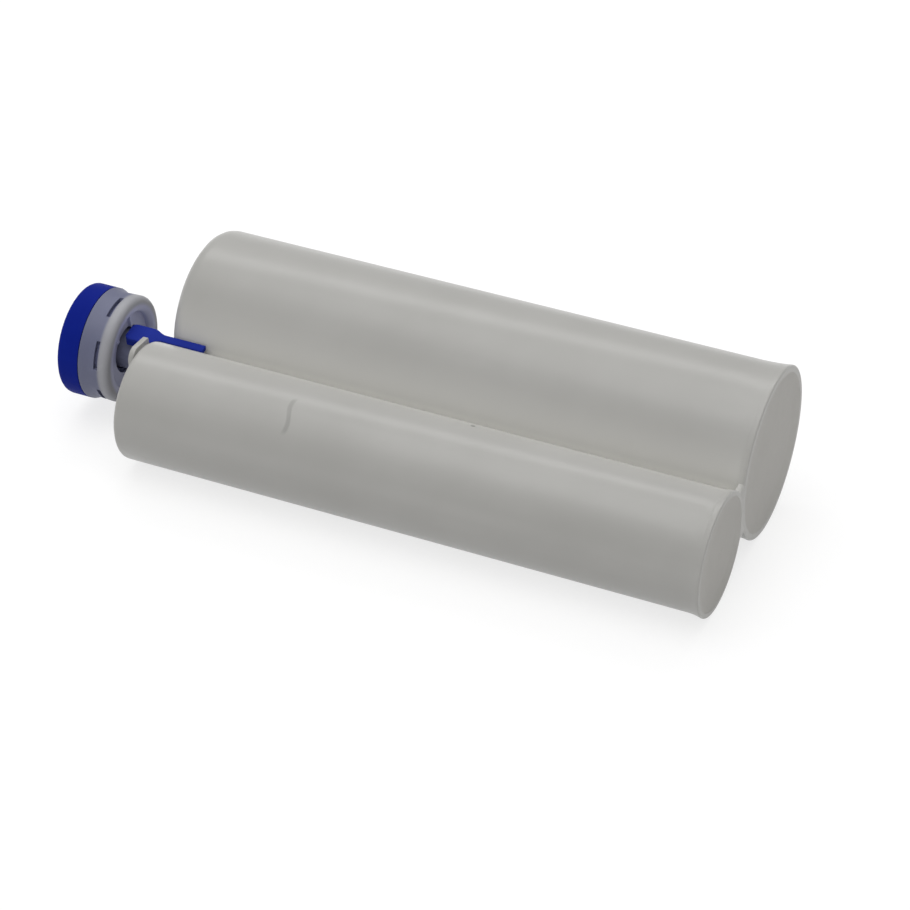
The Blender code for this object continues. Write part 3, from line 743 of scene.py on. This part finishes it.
def inner_loop(x, bite, waist):
    """Points round both barrels that follow them down to where they touch."""
    large = LARGE_RADIUS - bite
    small = SMALL_RADIUS - bite
    large_gap, large_end = math.asin(waist / large), math.asin(WEB_OPENING / large)
    small_gap, small_end = math.asin(waist / small), math.asin(WEB_OPENING / small)
    half = math.pi
    round_large, round_small = far_sides(x, large, small, large_gap, small_gap)
    upper = arc(x, large_axis, large, half - large_gap, half - large_end, WEB_STEPS)[1:]
    upper += arc(x, small_axis, small, small_end, small_gap, WEB_STEPS)[:-1]
    lower = arc(x, small_axis, small, -small_gap, -small_end, WEB_STEPS)[1:]
    lower += arc(x, large_axis, large, half + large_end, half + large_gap, WEB_STEPS)[:-1]
    return round_large + upper + round_small + lower


print("loop helpers ready")

# %% [markdown]
# The outer loops start with a small rounding at the rear end, follow the web for its
# length, and then open round each barrel. At the front they sink just into the barrels'
# walls, so that no edge shows. Two inner loops close the band again. They lie just inside
# the barrels' walls, and the rear one a hair below the end faces.

# %% Rear rims: stations of the loops
RIM_SPREAD = 0.88 * MILLIMETRE
RIM_SINK = 0.02 * MILLIMETRE
LARGE_FLARE = 12.0 * MILLIMETRE
SMALL_FLARE = 6.0 * MILLIMETRE
FLARE_POWER = 2.2
WEB_HALF_HEIGHT = 10.5 * MILLIMETRE
WEB_LENGTH = 2.2 * MILLIMETRE
WEB_EDGE = 0.2 * MILLIMETRE
FRONT_WAIST = 4.8 * MILLIMETRE
# Distance from the rear end and inset of the rounded edge, in millimetres.
RIM_ROUNDING = (
    (0.0, 0.62), (0.05, 0.42), (0.16, 0.22), (0.35, 0.08), (0.65, 0.0), (1.4, 0.0), (2.0, 0.0))
# Distances of the loops in front of the web, in millimetres.
WALL_PLACES = (2.22, 3.0, 4.0, 5.0, 6.0, 8.0, 10.0, 12.0)


def flare(place, length):
    """Spread of a rim at a distance from the rear end."""
    left = max(0.0, 1.0 - place / length)
    return (RIM_SPREAD + RIM_SINK) * left ** FLARE_POWER - RIM_SINK


rim_stations = []
for place, inset in RIM_ROUNDING:
    inset = inset * MILLIMETRE
    rim_stations.append((place * MILLIMETRE, inset, WEB_HALF_HEIGHT - inset))
rim_stations.append((WEB_LENGTH, 0.0, WEB_HALF_HEIGHT - WEB_EDGE))
for place in WALL_PLACES:
    rim_stations.append((place * MILLIMETRE, 0.0, FRONT_WAIST))
print("rim stations:", len(rim_stations))

# %% [markdown]
# Each station becomes a loop, and neighbouring loops are joined by four-sided faces. The
# last loop is joined to the first, which closes the band into one solid ring.

# %% Rear rims: loops and faces
RIM_BITE = 0.06 * MILLIMETRE
END_STEP = 0.01 * MILLIMETRE

rim_loops = []
for place, inset, waist in rim_stations:
    large_spread = flare(place, LARGE_FLARE) - inset
    small_spread = flare(place, SMALL_FLARE) - inset
    rim_loops.append(outer_loop(rear_end - place, large_spread, small_spread, waist))
rim_loops.append(inner_loop(rear_end - LARGE_FLARE, RIM_BITE, rim_stations[-1][2]))
rim_loops.append(inner_loop(rear_end - END_STEP, RIM_BITE, rim_stations[0][2]))
loop_size = len(rim_loops[0])
rim_faces = []
for ring in range(len(rim_loops)):
    here = ring * loop_size
    there = (ring + 1) % len(rim_loops) * loop_size
    for step in range(loop_size):
        after = (step + 1) % loop_size
        rim_faces.append((here + step, there + step, there + after, here + after))
rim_points = [point for loop in rim_loops for point in loop]
rear_rims = mesh_piece(
    "rear_rims", rim_points, rim_faces, barrel_plastic, "cartridge")
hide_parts("rear_flange")

# %% [markdown]
# ## Wiper lips
# A piston ends in a thin soft lip that wipes the bore clean, so no gap shows round it from
# behind. The lip is a ring that fills the piston's rear chamfer and reaches almost to the
# bore. Its rear face rises in a very flat cone until it is level with the rim, so the end
# of the barrel looks like one plain disc. A smaller ring seats the vent pin. A section that
# is turned about the axis gives both, as the Spin tool would.

# %% Helper: a turned ring
def turned_ring(name, section, axis, body, steps):
    """Closed section of (place, radius) points turned about an axis along X."""
    points = []
    for step in range(steps):
        angle = 2 * math.pi * step / steps
        for place, radius in section:
            y = axis.y + radius * math.cos(angle)
            z = axis.z + radius * math.sin(angle)
            points.append((rear_end - place, y, z))
    count = len(section)
    faces = []
    for step in range(steps):
        here = step * count
        there = (step + 1) % steps * count
        for corner in range(count):
            after = (corner + 1) % count
            faces.append((here + corner, here + after, there + after, there + corner))
    mesh_piece(name, points, faces, piston_plastic, body)


print("turning helper ready")

# %% [markdown]
# The two pistons have the same lip and the same pin seat, and differ only in their bores.
# All places in a section are distances from the rear end.

# %% Wiper lips and pin seats
LARGE_BORE = 27.0 * MILLIMETRE
SMALL_BORE = 19.1 * MILLIMETRE
PISTON_FACE = 0.3 * MILLIMETRE
PISTON_CLEARANCE = 0.3 * MILLIMETRE
PISTON_CHAMFER = 0.42 * MILLIMETRE
LIP_CLEARANCE = 0.03 * MILLIMETRE
LIP_GAP = 0.01 * MILLIMETRE
LIP_BITE = 0.02 * MILLIMETRE
LIP_INNER_SHARE = 0.7
LIP_EDGE = 1.2 * MILLIMETRE
LIP_LENGTH = 1.4 * MILLIMETRE
LIP_STEPS = 128
SEAT_INNER = 1.21 * MILLIMETRE
SEAT_OUTER = 1.49 * MILLIMETRE
SEAT_DEPTH = 0.8 * MILLIMETRE
SEAT_STEPS = 32
for size, bore, axis in (("large", LARGE_BORE, large_axis), ("small", SMALL_BORE, small_axis)):
    body = size + "_piston_body"
    side = bore - PISTON_CLEARANCE + LIP_GAP
    tip = bore - LIP_CLEARANCE
    lip_section = [
        (PISTON_FACE + LIP_BITE, side - PISTON_CHAMFER),
        (PISTON_FACE + LIP_BITE, LIP_INNER_SHARE * bore),
        (LIP_BITE, tip),
        (PISTON_FACE + LIP_EDGE, tip),
        (PISTON_FACE + LIP_LENGTH, side),
        (PISTON_FACE + PISTON_CHAMFER, side),
    ]
    turned_ring(size + "_wiper_lip", lip_section, axis, body, LIP_STEPS)
    seat_section = [
        (PISTON_FACE, SEAT_INNER),
        (PISTON_FACE, SEAT_OUTER),
        (PISTON_FACE + SEAT_DEPTH, SEAT_OUTER),
        (PISTON_FACE + SEAT_DEPTH, SEAT_INNER),
    ]
    turned_ring(size + "_pin_seat", seat_section, axis, body, SEAT_STEPS)

# %% [markdown]
# ## Floor
# The cartridge lies on a plain white surface. A single large square is enough for it.

# %% Floor
FLOOR_HALF = 3.0
CORNER_SIGNS = ((-1, -1), (1, -1), (1, 1), (-1, 1))

floor_corners = [(x * FLOOR_HALF, y * FLOOR_HALF, 0.0) for x, y in CORNER_SIGNS]
floor_mesh = bpy.data.meshes.new("Floor")
floor_mesh.from_pydata(floor_corners, [], [(0, 1, 2, 3)])
floor = bpy.data.objects.new("Floor", floor_mesh)
bpy.context.scene.collection.objects.link(floor)
print("floor:", 2 * FLOOR_HALF, "m wide")

# %% [markdown]
# The camera sees the floor as white with a soft shadow: part of its brightness is its own,
# so that the shadow stays light, as on a product photograph. Other rays meet a plain grey
# surface, which keeps the light that comes up from below at a natural level.

# %% White floor
FLOOR_BOUNCE = 0.76
FLOOR_ROUGH = 0.9
FLOOR_SEEN = 0.3
FLOOR_GLOW = 0.75

white_floor = bpy.data.materials.new("White floor")
white_floor.use_nodes = True
tree = white_floor.node_tree
matt = tree.nodes["Principled BSDF"]
matt.inputs["Base Color"].default_value = (FLOOR_BOUNCE, FLOOR_BOUNCE, FLOOR_BOUNCE, 1.0)
matt.inputs["Roughness"].default_value = FLOOR_ROUGH
matt.inputs["Specular IOR Level"].default_value = 0.0
seen = tree.nodes.new("ShaderNodeBsdfDiffuse")
seen.inputs["Color"].default_value = (FLOOR_SEEN, FLOOR_SEEN, FLOOR_SEEN, 1.0)
glow = tree.nodes.new("ShaderNodeEmission")
glow.inputs["Strength"].default_value = FLOOR_GLOW
both = tree.nodes.new("ShaderNodeAddShader")
rays = tree.nodes.new("ShaderNodeLightPath")
choose = tree.nodes.new("ShaderNodeMixShader")
viewed = number(tree, "MAXIMUM", rays.outputs["Is Camera Ray"], rays.outputs["Is Glossy Ray"])
viewed = number(tree, "MAXIMUM", viewed, rays.outputs["Is Transmission Ray"])
feed(tree, seen.outputs[0], both.inputs[0])
feed(tree, glow.outputs[0], both.inputs[1])
feed(tree, viewed, choose.inputs[0])
feed(tree, matt.outputs[0], choose.inputs[1])
feed(tree, both.outputs[0], choose.inputs[2])
feed(tree, choose.outputs[0], tree.nodes["Material Output"].inputs["Surface"])
floor_mesh.materials.append(white_floor)
print("floor finish:", white_floor.name)

# %% [markdown]
# ## Light
# A white surround fills the shadows. One large soft lamp hangs above the cartridge, a second
# stands in front on the closure's side and reaches into the valley between the barrels, and
# a long narrow one behind the cartridge draws the pale streaks along the tops of the barrels.

# %% Light
SURROUND = 0.53
LAMP_AIM = Vector((0.0, 0.0, 0.02))
# Name, place, width, depth and power of each lamp.
LAMPS = (
    ("Overhead lamp", (-0.15, -0.1, 1.5), 1.2, 1.2, 6.9),
    ("Front lamp", (-0.35, -0.75, 1.35), 1.0, 1.0, 2.0),
    ("Streak lamp", (-0.39, 0.87, 1.18), 1.6, 0.34, 5.2),
)


def soft_lamp(name, place, width, depth, power):
    """Rectangular area lamp that looks at the cartridge."""
    lamp_data = bpy.data.lights.new(name, "AREA")
    lamp_data.shape = "RECTANGLE"
    lamp_data.size = width
    lamp_data.size_y = depth
    lamp_data.energy = power
    lamp = bpy.data.objects.new(name, lamp_data)
    bpy.context.scene.collection.objects.link(lamp)
    lamp.location = place
    aim = LAMP_AIM - Vector(place)
    lamp.rotation_euler = aim.to_track_quat("-Z", "Y").to_euler()


world = bpy.data.worlds.new("Light tent")
bpy.context.scene.world = world
world.use_nodes = True
surround = world.node_tree.nodes["Background"]
surround.inputs["Color"].default_value = (1.0, 1.0, 1.0, 1.0)
surround.inputs["Strength"].default_value = SURROUND
for lamp in LAMPS:
    soft_lamp(*lamp)
print("lamps:", len(bpy.data.lights))

# %% [markdown]
# ## Camera
# The camera stands where the photograph was taken from: a long lens about a metre away,
# looking down at about 35 degrees past the open ends. Its place and directions came from
# matching the outlines of both barrels.

# %% Camera
CAMERA_PLACE = Vector((0.342495, -0.774799, 0.594123))
CAMERA_FORWARD = Vector((-0.3188, 0.75725, -0.57008))
CAMERA_RIGHT = Vector((0.9162, 0.40026, 0.01942))
SENSOR_WIDTH = 36.0
LENS = 121.49
CLIP_START = 0.05
CLIP_END = 20.0

forward = CAMERA_FORWARD.normalized()
right = (CAMERA_RIGHT - forward * CAMERA_RIGHT.dot(forward)).normalized()
up = right.cross(forward)
camera_data = bpy.data.cameras.new("Camera")
camera_data.sensor_width = SENSOR_WIDTH
camera_data.lens = LENS
camera_data.clip_start = CLIP_START
camera_data.clip_end = CLIP_END
camera = bpy.data.objects.new("Camera", camera_data)
bpy.context.scene.collection.objects.link(camera)
turn = Matrix((right, up, -forward)).transposed()
camera.matrix_world = Matrix.Translation(CAMERA_PLACE) @ turn.to_4x4()
bpy.context.scene.camera = camera
bpy.context.scene.view_settings.view_transform = "Standard"
print("camera at", tuple(round(c, 3) for c in camera.location))
